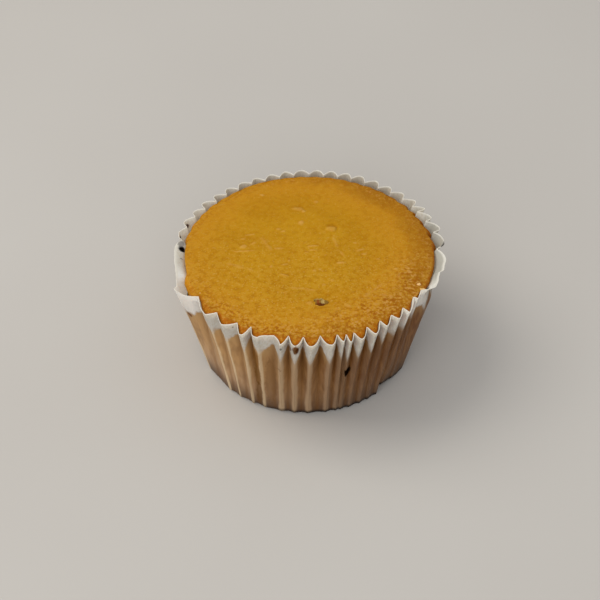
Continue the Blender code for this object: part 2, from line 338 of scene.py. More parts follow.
look = Vector((0.0, math.cos(CAMERA_ELEVATION), -math.sin(CAMERA_ELEVATION)))
right = Vector((1.0, 0.0, 0.0))
upward = right.cross(look)
pixel = CAMERA_DISTANCE / FOCAL_PIXELS
aside = right * (IMAGE_SIZE / 2.0 - TARGET_PIXEL[0]) * pixel
below = upward * (TARGET_PIXEL[1] - IMAGE_SIZE / 2.0) * pixel

deselect()
bpy.ops.object.camera_add(location=TARGET - look * CAMERA_DISTANCE + aside + below)
camera = bpy.context.object
camera.name = "photo_camera"
camera.rotation_euler = Euler((math.pi / 2.0 - CAMERA_ELEVATION, 0.0, 0.0))
camera.data.sensor_width = SENSOR
camera.data.lens = FOCAL_PIXELS * SENSOR / IMAGE_SIZE
camera.data.clip_start = 0.01
camera.data.clip_end = 50.0
bpy.context.scene.camera = camera
bpy.context.scene.view_settings.view_transform = "Standard"
print("lens", round(camera.data.lens, 1), "mm, one pixel is", round(pixel / MM, 3), "mm")


# %% Small helpers for every material
def srgb(code):
    """A colour as an sRGB hex code, turned to the linear numbers that a shader adds up."""
    parts = [int(code[start:start + 2], 16) / 255.0 for start in (1, 3, 5)]
    curve = [part / 12.92 if part <= 0.04045 else ((part + 0.055) / 1.055) ** 2.4
             for part in parts]
    return (*curve, 1.0)


def fill(tree, made, inputs):
    """Link each input of a node to an output, or set it to a number or a colour code."""
    for name, value in inputs.items():
        if isinstance(value, bpy.types.NodeSocket):
            tree.links.new(value, made.inputs[name])
        else:
            made.inputs[name].default_value = srgb(value) if isinstance(value, str) else value


def node(tree, kind, inputs=None, output=0, **settings):
    """Add a node with its settings and its inputs, and give back one output."""
    made = tree.nodes.new("ShaderNode" + kind)
    for name, value in settings.items():
        setattr(made, name, value)
    fill(tree, made, inputs or {})
    return made.outputs[output]


def new_skin(name):
    """A new material, its node tree, its main shader and the place of a point on the piece."""
    skin = bpy.data.materials.new(name)
    skin.use_nodes = True
    tree = skin.node_tree
    return skin, tree, tree.nodes["Principled BSDF"], node(tree, "TexCoord", output="Object")


soft = {"interpolation_type": "SMOOTHSTEP"}    # a share that sets in and ends gently
mixed = {"output": 2, "data_type": "RGBA"}     # two colours, mixed by a share


def layered(tree, colour, layers):
    """Lay tones over a colour, one after the other. Each layer is (the number that decides
    on it, where it begins, where it is full, its strength there, its tone)."""
    for cause, begin, full, strength, tone in layers:
        share = node(tree, "MapRange", {0: cause, 1: begin, 2: full, 4: strength}, **soft)
        colour = node(tree, "Mix", {0: share, 6: colour, 7: tone}, **mixed)
    return colour


# %% Floor
FLOOR_SIZE = 8.0                 # metres, so that no view from the side sees its edge

floor_skin, tree, shader, place = new_skin("matt pale studio floor")
cloud = node(tree, "TexNoise", {"Vector": place, "Scale": 9.0})
tint = node(tree, "Mix", {0: cloud, 6: "#B8B2AA", 7: "#C0BBB3"}, **mixed)
fill(tree, shader, {"Base Color": tint, "Roughness": 0.7, "Specular IOR Level": 0.25})

deselect()
bpy.ops.mesh.primitive_plane_add(size=FLOOR_SIZE)
floor = bpy.context.object
floor.name = "studio_floor"
floor.data.materials.append(floor_skin)

# %% Light
KEY_PLACE = Vector((-0.80, 0.20, 1.05))   # metres: upper left, a little behind
KEY_SIZE = 0.9
KEY_WATTS = 8.8
FILL_PLACE = Vector((-0.25, -1.2, 0.75))  # in front, wider and as strong on the muffin
FILL_SIZE = 1.2
FILL_WATTS = 10.0
SKY_STRENGTH = 0.60


def area_lamp(name, place, size, watts, colour):
    deselect()
    bpy.ops.object.light_add(type="AREA", location=place)
    lamp = bpy.context.object
    lamp.name = name
    lamp.data.size = size
    lamp.data.energy = watts
    lamp.data.color = srgb(colour)[:3]
    lamp.rotation_euler = (TARGET - place).to_track_quat("-Z", "Y").to_euler()


area_lamp("key_window", KEY_PLACE, KEY_SIZE, KEY_WATTS, "#FFFCF6")
area_lamp("fill_window", FILL_PLACE, FILL_SIZE, FILL_WATTS, "#F6FAFF")
world = bpy.data.worlds.new("soft studio sky")
world.use_nodes = True
tree = world.node_tree
fill(tree, tree.nodes["Background"], {"Color": "#F4F6FA", "Strength": SKY_STRENGTH})
bpy.context.scene.world = world

# %% [markdown]
# ## The paper case
#
# Real cases are pressed from one disc of thin greaseproof paper. Cloth simulation could
# gather a disc, but the pleats would land anywhere. Here each pleat has to be where the
# photograph has it, so the case starts as a circle of many points, which is extruded up
# the wall row by row, and the rule then gathers every row. The circle has more columns
# on a wide pleat, and a column always falls on each fold, so the folds stay crisp. The
# cake uses the same columns later, so the two surfaces never cross.

# %% Columns of points round the case
TOP_CELLS = 240                  # along each side of the grid that the cake starts from
COLUMNS = 4 * TOP_CELLS          # the case has as many columns as that grid has border points
LEAST_COLUMNS = 4                # between an outer fold and the inner fold beside it

columns = []
spare = COLUMNS - 2 * LEAST_COLUMNS * len(pleats)
for start, width, outer, middle, inner, rise, power in pleats:
    fold = start + middle * width
    for begin, turn in ((start, middle * width), (fold, (1.0 - middle) * width)):
        given = [round(spare * (edge - pleat_starts[0]) / math.tau)
                 for edge in (begin, begin + turn)]
        count = LEAST_COLUMNS + given[1] - given[0]
        columns += [begin + turn * step / count for step in range(count)]
print("columns of points:", len(columns))


def column_angle(turn):
    """The angle of the column that lies this share of the way round."""
    spot = (turn % 1.0) * len(columns)
    index = min(int(spot), len(columns) - 1)
    after = columns[index + 1] if index + 1 < len(columns) else columns[0] + math.tau
    return columns[index] + (spot - index) * (after - columns[index])


# %% Extrude the circle into a cup
WALL_ROWS = 36
BASE_RINGS = [0.93, 0.86, PAPER_FADE, 0.5]   # rings under the cake, as shares of the base


def only(piece, test):
    """In edit mode, select only the points for which the test is true."""
    mesh = bmesh.from_edit_mesh(piece.data)
    for vert in mesh.verts:
        vert.select_set(test(vert.co))
    mesh.select_flush(True)
    mesh.select_flush(False)
    bmesh.update_edit_mesh(piece.data)


def extrude_ring(scale, up=0.0):
    """Extrude the selected ring, move it up and scale it about the axis of the muffin."""
    bpy.ops.mesh.extrude_edges_move(TRANSFORM_OT_translate={"value": (0.0, 0.0, up)})
    bpy.ops.transform.resize(value=(scale, scale, 1.0), center_override=(0.0, 0.0, 0.0))


deselect()
ring = BASE_RADIUS - CORNER
bpy.ops.mesh.primitive_circle_add(vertices=len(columns), radius=ring, fill_type="NOTHING")
paper = bpy.context.object
paper.name = "pleated_paper"
bpy.ops.object.mode_set(mode="EDIT")
bpy.ops.mesh.select_all(action="SELECT")
for share in BASE_RINGS:
    extrude_ring(share * BASE_RADIUS / ring)
    ring = share * BASE_RADIUS
extrude_ring(1.0)
bpy.ops.mesh.merge(type="CENTER")

only(paper, lambda point: point.length > BASE_RADIUS - 1.5 * CORNER)
steps = [(BASE_RADIUS - 0.6 * CORNER, 0.1 * CORNER), (BASE_RADIUS - 0.2 * CORNER, 0.4 * CORNER)]
for row in range(WALL_ROWS + 1):
    height = CORNER + (CASE_HEIGHT - CORNER) * row / WALL_ROWS
    steps.append((wall_radius(height), height))
ring, level = BASE_RADIUS - CORNER, 0.0
for radius, height in steps:
    extrude_ring(radius / ring, height - level)
    ring, level = radius, height
bpy.ops.object.mode_set(mode="OBJECT")
print("cup of", len(paper.data.vertices), "points,", round(level / MM, 1), "mm high")

# %% [markdown]
# ## Where the cake touches the paper
#
# Fat has soaked higher on the inner folds, which press on the cake, than on the outer
# ones. So the border of the stain runs up and down with the pleats, and the paper keeps,
# at each of its points, how far that point lies below it. The cake itself leaves the
# paper higher up in front, where it fills the pleats nearly to the rim, and lower behind.
# There its edge is turned over later, to meet the paper at that height.

# %% The border between paper and cake
STAIN_MIDDLE = 26.2 * MM         # height of the stain's border on a panel, half way
STAIN_SWING = 2.8 * MM           # the stain is higher on inner folds, lower on outer ones
STAIN_TOP = (27.5 * MM, 25.2 * MM)  # the arches end here, in front and on both sides
STAIN_SIDE = math.radians(30.0)  # where the lower arches of the sides begin
STAIN_FADE = math.radians(10.0)
CAKE_TOP = (29.3 * MM, 26.6 * MM)  # where the cake itself meets the paper, in front and behind
FRONT_END = math.radians(62.0)   # the front reaches this far round to either side
BACK_START = math.radians(104.0)


def at_tucks(angle, height):
    """The height that is asked for, or that of a stretch where the paper clings."""
    for middle, width, top, depth in TUCKS:
        height += (top - height) * tuck_share(angle, middle, width)
    return height


def stain_top(angle, arch):
    """Where the stain ends: low on outer folds, high on inner ones."""
    beside = smooth_step((apart(angle) - STAIN_SIDE) / STAIN_FADE)
    top = STAIN_TOP[0] + (STAIN_TOP[1] - STAIN_TOP[0]) * beside
    return min(STAIN_MIDDLE - STAIN_SWING * min(arch, 1.0), top)


def cake_top(angle):
    """Where the cake leaves the paper. In front it fills the pleats nearly to the rim."""
    behind = smooth_step((apart(angle) - FRONT_END) / (BACK_START - FRONT_END))
    return at_tucks(angle, CAKE_TOP[0] + (CAKE_TOP[1] - CAKE_TOP[0]) * behind)


# %% Gather the cup into pleats
known = {
    "touch": [],                 # mm below the border of the stain, less than 0 above it
    "away": [],                  # 0 on an outer fold, 1 on an inner fold
    "aside": [],                 # mm from the outer fold, along the wall
    "drop": [],                  # mm below the rim
}
for vert in paper.data.vertices:
    radius = math.hypot(vert.co.x, vert.co.y)
    angle = column_angle(round(math.atan2(vert.co.y, vert.co.x) / math.tau * COLUMNS) / COLUMNS)
    place, (reach, arch, away, aside, rise) = place_on_case(angle, radius, vert.co.z)
    known["touch"].append((stain_top(angle, arch) - vert.co.z) / MM)
    known["away"].append(away)
    known["aside"].append(aside * wall_radius(vert.co.z) / MM)
    known["drop"].append((CASE_HEIGHT - vert.co.z) / MM)
    vert.co = place


def store(piece, numbers):
    """Keep named numbers at each point of a piece, for its material to read."""
    for name, values in numbers.items():
        layer = piece.data.attributes.new(name, "FLOAT", "POINT")
        layer.data.foreach_set("value", values)


store(paper, known)

bpy.ops.object.mode_set(mode="EDIT")
bpy.ops.mesh.select_all(action="SELECT")
bpy.ops.mesh.normals_make_consistent(inside=False)
bpy.ops.object.mode_set(mode="OBJECT")
lowest = min(paper.data.polygons, key=lambda face: face.center.z)
if lowest.normal.z > 0.0:
    paper.data.flip_normals()

# %% Give the paper its thickness
SHEET = 0.12 * MM                # real paper is about half of this, but the edge must show
CRISP_ANGLE = math.radians(55.0)  # folds sharper than this stay crisp

thicken = paper.modifiers.new("sheet thickness", "SOLIDIFY")
thicken.thickness = SHEET
thicken.offset = -1.0
thicken.use_even_offset = False
bpy.ops.object.modifier_apply(modifier=thicken.name)
bpy.ops.object.shade_smooth_by_angle(angle=CRISP_ANGLE)
report(paper)

# %% [markdown]
# ## Greaseproof paper, white at the rim and browned below
#
# The paper is matt and off-white where it stands free. Where the cake touches it, it has
# soaked up fat and shows the browned crust through it. The border runs in a zigzag:
# white points down the outer folds, brown arches up the inner ones. Below it the outer
# folds stay pale, because they stand off the cake. So the stain is worked out from what
# each point of the paper knows: how far it lies below the border and the rim, and how
# near it is to an outer or an inner fold.

# %% Where the stain begins
CONTACT_BLUR = (2.0, 0.6)        # mm to either side of the border, on outer folds and off them
RIB_BLUR = (0.2, 1.4)            # mm from the outer fold: where the first and the second hold
RAGGED = 1.6 * MM                # how far apart the bays of the border are
BAY = 1.6                        # mm, how deep they are
FIBRE = 0.45 * MM                # fibres and clouds of a thin paper
CLOUD = 4.5 * MM
BLOTCH = 2.6 * MM                # where more fat has come through
STREAK = 0.8 * MM                # creases that run up the panels

# name: (degrees from the front, height, size to the right, backward and up, colour, strength)
PAPER_MARKS = {
    "burn": (18.2, 16.3, (1.7, 6.0, 4.0), "#140903", 1.0),
    "brown spot": (-5.6, 28.7, (1.45, 4.0, 4.0), "#8A561A", 0.95),
    "dark side of it": (-4.9, 28.3, (0.9, 4.0, 2.4), "#6A3608", 0.8),
    "streak left of it": (-8.1, 27.6, (0.7, 3.0, 1.7), "#8A5A34", 0.7),
    "speck left of it": (-11.8, 28.5, (0.6, 3.0, 1.0), "#6E6A58", 0.7),
    "speck below": (-12.8, 18.4, (1.3, 3.0, 0.6), "#7A5C46", 0.6),
    "speck on the wide pleat": (-35.2, 29.7, (0.5, 3.0, 0.6), "#8A7C5C", 0.6),
    "upper gilded fold": (-24.6, 20.5, (1.8, 5.0, 10.0), "#80500E", 0.65),
    "middle gilded fold": (-24.6, 13.0, (1.8, 5.0, 10.0), "#704810", 0.65),
    "lower gilded fold": (-24.6, 5.5, (1.8, 5.0, 10.0), "#62401A", 0.65),
    "shade beside it": (-17.6, 12.0, (3.2, 6.0, 26.0), "#64401E", 0.40),
    "scorch on the left": (-66.0, 22.4, (2.0, 1.2, 1.7), "#74462A", 0.8),
    "scorch on the right": (68.0, 29.6, (1.6, 1.3, 3.2), "#5A3C14", 0.95),
    "burn inside the rim": (-94.9, 30.2, (1.9, 1.9, 1.8), "#120A06", 1.0),
    "grey shade above it": (-97.6, 30.5, (2.0, 2.2, 1.5), "#8A8178", 0.6),
    "spot inside the rim": (-103.6, 29.7, (1.2, 1.3, 1.2), "#4A2E18", 0.95),
    "second spot inside": (-113.2, 29.3, (1.1, 1.2, 1.3), "#5A4030", 0.9),
    "thin line inside": (-88.5, 30.2, (1.3, 0.4, 0.6), "#7A7268", 0.7),
    # painted shadow in the gap between two lobes of the rim, on the right
    "dark crease on the right": (95.7, 31.0, (1.1, 5.6, 0.9), "#3C3228", 0.85),
}

# %% The paper's material: where it is stained, and its fine patterns
paper_skin, tree, shader, place = new_skin("greaseproof paper")
x, y, z = [node(tree, "SeparateXYZ", {0: place}, axis) for axis in "XYZ"]
touch, away, aside, drop = [
    node(tree, "Attribute", output="Fac", attribute_name=name) for name in known]
tall = node(tree, "Mapping", {"Vector": place, "Scale": (1.0, 1.0, 0.4)})
taller = node(tree, "Mapping", {"Vector": place, "Scale": (1.0, 1.0, 0.08)})
fibres, clouds, blotches, streaks, edge_noise = [
    node(tree, "TexNoise", {"Vector": where, "Scale": 1.0 / size, "Detail": detail})
    for where, size, detail in ((tall, FIBRE, 4.0), (tall, CLOUD, 3.0), (tall, BLOTCH, 2.0),
                                (taller, STREAK, 3.0), (place, RAGGED, 3.0))]

ragged = node(tree, "Math", {0: edge_noise, 1: BAY, 2: -0.5 * BAY}, operation="MULTIPLY_ADD")
under = node(tree, "Math", {0: touch, 1: ragged}, operation="ADD")
wide, narrow = CONTACT_BLUR
blur = node(tree, "MapRange", {0: aside, 1: RIB_BLUR[0], 2: RIB_BLUR[1], 3: wide, 4: narrow})
above = node(tree, "Math", {0: blur, 1: -1.0}, operation="MULTIPLY")
stained = node(tree, "MapRange", {0: under, 1: above, 2: blur}, **soft)

# %% The free paper: off-white, with painted shade and painted light in places and a painted highlight along the cut edge
# Where its tone changes, mostly as painted shade and painted light: to the right and backward, from
# and full in mm, strength, colour
FREE_TONES_AND_PAINTED_LIGHT = [
    ((29.5, 32.5), (-13.0, -8.0), 0.8, "#CFCCC0"),     # painted shade: greyer on the right
    ((-40.0, -38.0), (14.0, 30.0), 0.6, "#C6BAA6"),    # and a little buff behind
    ((22.0, 26.0), (-8.0, -13.0), 0.9, "#FDFCF6"),     # painted light: whiter at the front right
    ((-25.0, -29.0), (-2.0, -8.0), 0.9, "#FFFEFA"),    # and painted light in the pulled corner
]
white = node(tree, "Mix", {0: clouds, 6: "#EAE7DE", 7: "#F4F1E8"}, **mixed)
white = layered(tree, white, [(fibres, 0.40, 0.62, 1.0, "#E8E2D4")])
for (side_from, side_full), (back_from, back_full), strength, tone in FREE_TONES_AND_PAINTED_LIGHT:
    begin, full = side_from * MM, side_full * MM
    to_side = node(tree, "MapRange", {0: x, 1: begin, 2: full, 4: strength}, **soft)
    to_back = node(tree, "MapRange", {0: y, 1: back_from * MM, 2: back_full * MM}, **soft)
    share = node(tree, "Math", {0: to_side, 1: to_back}, operation="MULTIPLY")
    white = node(tree, "Mix", {0: share, 6: white, 7: tone}, **mixed)
# Painted highlight: paler along the cut edge of the rim
white = layered(tree, white, [(drop, 0.42, 0.12, 1.0, "#F8F5EC")])

# %% The greased paper: tan on the left, where the light shines in, to dark brown on the right
from_left = node(tree, "MapRange", {0: x, 1: -24.0 * MM, 2: 3.0 * MM}, **soft)
to_right = node(tree, "MapRange", {0: x, 1: -2.0 * MM, 2: 16.0 * MM}, **soft)
tan, brown, dark = [
    node(tree, "Mix", {0: clouds, 6: lighter, 7: darker}, **mixed)
    for lighter, darker in (("#C89C66", "#B48A58"), ("#895D30", "#6E4922"), ("#78481E", "#603814"))]
greased = node(tree, "Mix", {0: from_left, 6: tan, 7: brown}, **mixed)
greased = node(tree, "Mix", {0: to_right, 6: greased, 7: dark}, **mixed)
worn = node(tree, "Mix", {0: from_left, 6: "#BCA08C", 7: "#7A6048"}, **mixed)
greased = layered(tree, greased, [
    (z, 18.0 * MM, 2.0 * MM, 0.45, worn),          # worn and greyer low down
    (streaks, 0.40, 0.66, 0.35, "#A87C4C"),        # creases that run up the panels
    (under, 4.5, 0.0, 0.50, "#B4905E"),            # paler just below the border
    (z, 8.0 * MM, 0.5 * MM, 0.85, "#4E3828"),      # painted shade, dark at the foot
    (blotches, 0.45, 0.72, 0.35, "#6A4424"),       # where more fat has come through
    (away, 0.55, 1.0, 0.40, "#6C4210"),            # painted shade deep in the inner folds
])

# %% The ribs stand off the cake, so they stay pale: thin and sharp on the left, wider in front
RIB_WIDTH = (0.32, 0.62)         # mm to either side of the outer fold, on the left and in front
RIB_STRENGTH = (0.82, 0.50)      # how pale a rib is, in front and on the right
sharp, wide = RIB_WIDTH
rib_edge = node(tree, "MapRange", {0: x, 1: -20.0 * MM, 2: -4.0 * MM, 3: sharp, 4: wide}, **soft)
uneven = node(tree, "Math", {0: clouds, 1: 1.2, 2: -0.6}, operation="MULTIPLY_ADD")
rib_place = node(tree, "Math", {0: aside, 1: uneven}, operation="ADD")
rib_place = node(tree, "Math", {0: rib_place, 1: rib_edge}, operation="DIVIDE")
clear, faint = RIB_STRENGTH
rib_strength = node(tree, "MapRange", {
    0: x, 1: -4.0 * MM, 2: 16.0 * MM, 3: clear, 4: faint}, **soft)
rib = node(tree, "MapRange", {0: rib_place, 1: 1.5, 2: 0.5, 4: rib_strength}, **soft)
pale_rib = node(tree, "Mix", {0: from_left, 6: "#DCC29A", 7: "#B0906E"}, **mixed)
pale_rib = node(tree, "Mix", {0: to_right, 6: pale_rib, 7: "#785C44"}, **mixed)
greased = node(tree, "Mix", {0: rib, 6: greased, 7: pale_rib}, **mixed)

# A faint darker line runs along the border, and the foot has a painted contact shadow next to the
# floor, but for its left side
off_border = node(tree, "Math", {0: under}, operation="ABSOLUTE")
greased = layered(tree, greased, [(off_border, 0.5, 0.0, 0.12, "#5E3E20")])
painted_contact_shadow = node(tree, "MapRange", {0: drop, 1: 29.1, 2: 30.4, 4: 0.95}, **soft)
painted_contact_shadow = node(tree, "Math", {0: painted_contact_shadow, 1: from_left}, operation="MULTIPLY")
greased = node(tree, "Mix", {0: painted_contact_shadow, 6: greased, 7: "#1E130B"}, **mixed)
colour = node(tree, "Mix", {0: stained, 6: white, 7: greased}, **mixed)

# %% Burns, specks and painted shade on the paper
sheen = 0.25                     # the paper shines a little, a burn doesn't
MARK_EDGE = (1.65, 1.15)         # where a mark begins and is full, in half sizes
begin, full = MARK_EDGE
for name, (turn, height, size, tone, strength) in PAPER_MARKS.items():
    angle = math.radians(turn)
    centre = place_on_case(angle, wall_radius(height * MM), height * MM)[0]
    squash = [2.0 / (side * MM) for side in size]
    middle = node(tree, "VectorMath", {0: place, 1: centre}, operation="SUBTRACT")
    squeezed = node(tree, "VectorMath", {0: middle, 1: squash}, operation="MULTIPLY")
    distance = node(tree, "VectorMath", {0: squeezed}, "Value", operation="LENGTH")
    rough_edge = node(tree, "Math", {0: fibres, 1: 0.9, 2: distance}, operation="MULTIPLY_ADD")
    share = node(tree, "MapRange", {0: rough_edge, 1: begin, 2: full, 4: strength}, **soft)
    colour = node(tree, "Mix", {0: share, 6: colour, 7: tone}, **mixed)
    sheen = node(tree, "Mix", {0: share, 2: sheen, 3: 0.0}, 0, data_type="FLOAT")
    print(name, "at mm", in_mm(centre))

# %% How the paper takes the light
roughness = node(tree, "MapRange", {0: stained, 3: 0.75, 4: 0.5})
relief = node(tree, "Bump", {"Height": fibres, "Strength": 0.5, "Distance": 0.05 * MM})
fill(tree, shader, {"Base Color": colour, "IOR": 1.45, "Specular IOR Level": sheen,
                    "Roughness": roughness, "Normal": relief})
glow = node(tree, "BsdfTranslucent", {"Color": colour})
thinness = node(tree, "MapRange", {0: stained, 3: 0.55, 4: 0.06})
both = node(tree, "MixShader", {0: thinness, 1: shader.outputs[0], 2: glow})
fill(tree, tree.nodes["Material Output"], {"Surface": both})
paper.data.materials.append(paper_skin)

# %% [markdown]
# ## The cake
#
# The top is a low dome with a fine skin. It could be a turned shape, but rings crowd at
# the middle and spread at the edge, where the pleats need detail. So it starts as a
# square grid. Each square ring of the grid becomes a round ring, which keeps the faces
# about 0.25 mm everywhere, fine enough for real pores and blisters. The open border of
# the grid is then extruded down: first the edge that turns over into the folds, then the
# side that lies against the paper, then the bottom.

# %% Sizes of the cake
CLEARANCE = 0.26 * MM            # from the paper's outer face, along a radius
CROWN_HEIGHT = 31.2 * MM         # middle of the domed top
DOME_POWER = 2.4                 # flat in the middle, falling away towards the edge
EDGE_HEIGHT = 30.55 * MM         # top where the edge begins to turn over
EDGE_RADIUS = 31.6 * MM
EDGE_MIDDLE = (0.25 * MM, 0.50 * MM)  # middle of the top, right of and behind that of the base
TURN_ROWS = 14                   # rows down the turned-over edge
SIDE_ROWS = 12
ROW_STEP = 1.0 * MM              # between the rows, until they find their places
BOTTOM_RINGS = (0.9, 0.6)        # each as a share of the one before
FLOOR_GAP = 0.3 * MM

# %% A grid with a skirt
deselect()
bpy.ops.mesh.primitive_grid_add(x_subdivisions=TOP_CELLS, y_subdivisions=TOP_CELLS,
                                size=2.0 * EDGE_RADIUS, location=(0.0, 0.0, CROWN_HEIGHT))
cake = bpy.context.object
cake.name = "muffin_cake"
bpy.ops.object.transform_apply(location=True, rotation=False, scale=False)
bpy.ops.object.mode_set(mode="EDIT")
half = EDGE_RADIUS - 0.1 * EDGE_RADIUS / TOP_CELLS
only(cake, lambda point: max(abs(point.x), abs(point.y)) > half)
for row in range(TURN_ROWS + SIDE_ROWS):
    extrude_ring(1.0, -ROW_STEP)
for share in BOTTOM_RINGS:
    extrude_ring(share)
extrude_ring(1.0)
bpy.ops.mesh.merge(type="CENTER")
bpy.ops.mesh.select_all(action="SELECT")
bpy.ops.mesh.normals_make_consistent(inside=False)
bpy.ops.object.mode_set(mode="OBJECT")
print("grid with its skirt:", len(cake.data.vertices), "points")

# %% [markdown]
# ## Relief of the top
#
# The dome is not perfectly even. Broad lumps follow the solid model. On them lie a fine
# grain, some burst blisters with a pale rim, a few wrinkles, and at the front right and
# along the front edge a rougher, sandy stretch where the skin has baked drier.

# %% Lumps, grain and blisters
TOP_UNEVENNESS = 0.22 * MM
LUMP_SIZE = 9.0 * MM
BUMP_SIZE = 1.5 * MM             # small bumps
BUMP_HEIGHT = (0.030, 0.050)     # mm, on the smooth skin, and more where it is sandy
GRAIN_SIZE = 0.55 * MM           # and the grain on them
GRAIN_HEIGHT = (0.014, 0.040)
BLISTER_REACH = 4.5              # mm, further than any blister reaches from its middle
BLISTER_EDGE = (1.25, 0.7)       # where a blister ends and over what stretch, in half sizes
HOLLOW_EDGE = (1.35, 0.8)        # the same for the hollow behind it
HOLLOW_DEPTH = 0.6               # as a share of the blister's height
RAGGED_SHARE = 0.35              # how ragged their outlines are
LEAST_SAND = 0.3                 # the turned-over edge is this sandy at least

# The sandy stretches: where they begin and are full, as shares of the way to the edge, the
# angle of their middle, their half width, and how many half widths they reach
SANDY_STRETCHES = [
    (0.62, 0.84, 0.75, 0.62, 1.6),    # the front right
    (0.80, 0.94, 0.0, 0.90, 1.7),     # along the front edge
]
SANDY_RING = (0.90, 0.97, 0.45)  # all round: where it begins and is full, and how sandy
SANDY_PATCH = 4.0 * MM

# (right of the middle, behind the middle, length, width, turn in degrees, height,
#  paleness, shade behind), all sizes in mm
BLISTERS = [
    (6.1, 9.6, 2.7, 2.2, -15.0, 0.30, 0.55, 1.0),      # the largest, behind the middle
    (-2.6, 18.0, 3.4, 1.5, -12.0, 0.14, 0.55, 0.8),
    (-1.0, 16.9, 1.0, 1.0, 0.0, 0.12, 0.9, 0.2),
    (-1.6, 12.1, 1.7, 1.6, 35.0, 0.14, 0.9, 0.2),
    (-7.5, 9.6, 1.3, 1.0, 0.0, 0.12, 0.7, 0.3),
    (-6.2, 8.7, 1.3, 1.0, 20.0, 0.12, 0.8, 0.3),
    (-16.4, 2.6, 1.7, 1.5, 30.0, 0.15, 0.8, 0.4),
    (-16.1, 0.8, 5.4, 0.5, 2.0, 0.10, 0.8, 0.3),
    (-13.9, 3.8, 1.6, 0.9, 40.0, 0.08, 0.5, 0.2),
    (-14.8, 7.4, 2.4, 0.6, 14.0, 0.08, 0.6, 0.2),
    (-16.6, 5.7, 1.4, 0.8, 0.0, 0.08, 0.6, 0.2),
    (1.4, 2.7, 3.3, 0.6, 2.0, 0.12, 0.8, 0.8),
    (1.4, 1.1, 2.0, 0.6, 0.0, 0.10, 0.8, 0.6),
    (-0.2, 0.2, 1.2, 0.6, 10.0, 0.08, 0.5, 0.2),
    (-7.3, 1.8, 3.0, 0.7, 6.0, 0.08, 0.6, 0.2),
    (8.3, -3.9, 2.1, 0.9, 15.0, 0.10, 0.8, 0.3),
    (1.7, -6.9, 0.9, 0.9, 0.0, 0.10, 0.8, 0.3),
    (3.2, -6.4, 0.9, 0.8, 30.0, 0.10, 0.8, 0.3),
    (-5.9, -8.7, 2.2, 0.7, -25.0, 0.12, 0.6, 0.9),
    (-11.9, 24.1, 1.5, 0.9, -15.0, 0.08, 0.8, 0.1),
    (2.3, 21.0, 1.1, 1.2, 0.0, 0.08, 0.6, 0.1),
    (4.2, -12.3, 0.9, 1.1, 0.0, 0.08, 0.7, 0.1),
    (-4.7, -2.9, 0.6, 0.8, 0.0, 0.08, 0.8, 0.1),
    (-5.9, -4.5, 2.2, 0.7, 12.0, 0.07, 0.5, 0.1),
    (-9.2, -5.3, 0.6, 1.1, 0.0, 0.08, 0.8, 0.1),
    (6.2, -10.8, 0.9, 1.1, 0.0, 0.08, 0.6, 0.1),
    (12.2, 4.2, 1.1, 0.7, 0.0, 0.07, 0.7, 0.1),
    (13.5, 1.4, 2.2, 0.8, 18.0, 0.08, 0.7, 0.1),
    (14.5, -0.2, 1.3, 0.7, 5.0, 0.08, 0.7, 0.1),
    (18.0, -2.2, 1.2, 0.5, 0.0, 0.07, 0.8, 0.1),
    (22.5, -6.1, 1.1, 0.7, 0.0, 0.08, 0.8, 0.1),
    (25.6, -5.7, 0.7, 0.7, 0.0, 0.08, 0.9, 0.1),
    (21.2, -20.9, 0.5, 0.6, 0.0, 0.10, 1.0, 0.2),
    (0.4, -19.3, 1.8, 1.2, 10.0, 0.18, 0.5, 0.3),     # beside the flake
    (3.4, -19.7, 3.6, 1.5, 180.0, 0.0, 0.0, 1.0),     # painted shadow of the flake, in front of it
]

# Pale wrinkles: their two ends in mm, width, height
WRINKLES = [
    ((-11.8, 5.8), (-9.2, 1.2), 0.7, 0.06), ((6.6, 6.4), (8.0, 1.2), 0.4, 0.04),
    ((8.0, 1.2), (9.8, -2.0), 0.4, 0.04), ((-20.0, -4.0), (-14.5, -6.5), 0.6, 0.05),
    ((14.5, -16.5), (18.5, -12.0), 0.6, 0.06), ((8.5, -18.4), (10.6, -20.6), 0.5, 0.07),
    ((-4.0, -13.5), (2.0, -14.5), 0.6, 0.04),
]
WRINKLE_PALENESS = 0.45          # a blister's is in its own row


def dome_height(share):
    """The even dome, at a share of the way from its middle to its edge."""
    return CROWN_HEIGHT - (CROWN_HEIGHT - EDGE_HEIGHT) * share ** DOME_POWER


def sandy_share(x, y):
    """1 in the rough, drier stretches of the crust, 0 on the smooth skin."""
    radius = math.hypot(x, y) / EDGE_RADIUS
    angle = math.atan2(x, -y)
    begin, full, most = SANDY_RING
    most *= smooth_step((radius - begin) / (full - begin))
    for begin, full, middle, half_width, reach in SANDY_STRETCHES:
        outward = smooth_step((radius - begin) / (full - begin))
        most = max(most, outward * smooth_step(reach - abs(angle - middle) / half_width))
    patchy = 0.75 + 0.6 * noise.noise(Vector((x, y, 5.0 * MM)) / SANDY_PATCH)
    return min(most * patchy, 1.0)


